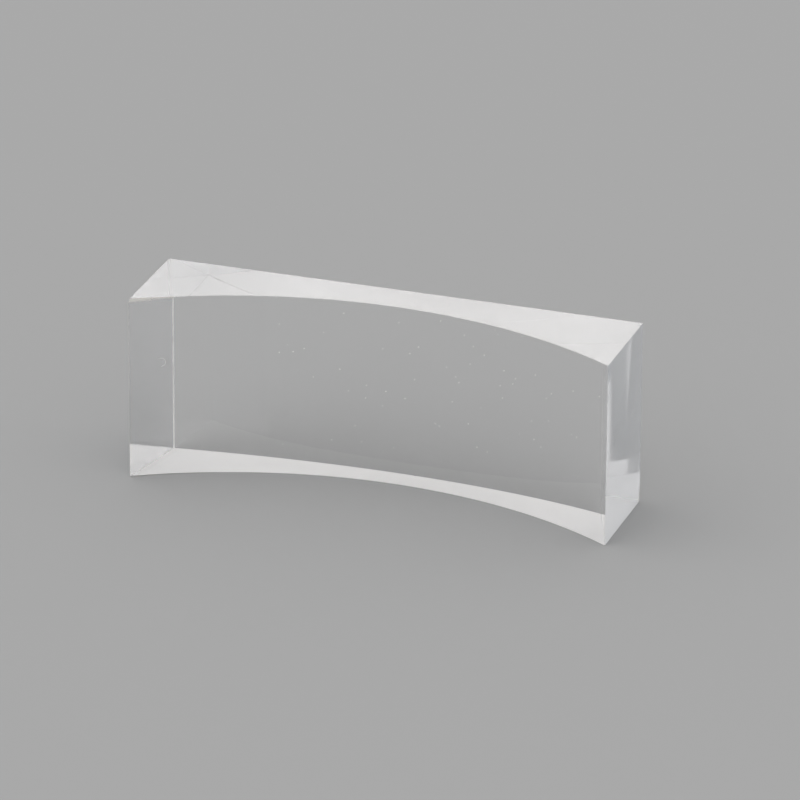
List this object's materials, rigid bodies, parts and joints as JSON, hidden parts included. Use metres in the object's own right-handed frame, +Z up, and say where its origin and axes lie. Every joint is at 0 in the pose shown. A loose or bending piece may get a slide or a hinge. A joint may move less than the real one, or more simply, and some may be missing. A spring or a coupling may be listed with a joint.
{
  "type": "plano-concave lens",
  "caption": "Clear block lens for a ray table: flat back, concave cylindrical front and polished ends, standing on a matte white base.",
  "frame": {"origin": "under the middle of the block, on the plane of its base, halfway between the flat back and the front tips", "axes": "+X along the block, end face to end face; +Y along the optical axis, out of the flat back; +Z up, from the base to the top"},
  "size_m": [0.065, 0.0149, 0.025],
  "materials": {
    "clear_acrylic": "polished, with a matte white underside"
  },
  "bodies": {
    "root": {"plano_concave_lens": "clear_acrylic"}
  },
  "joints": []
}
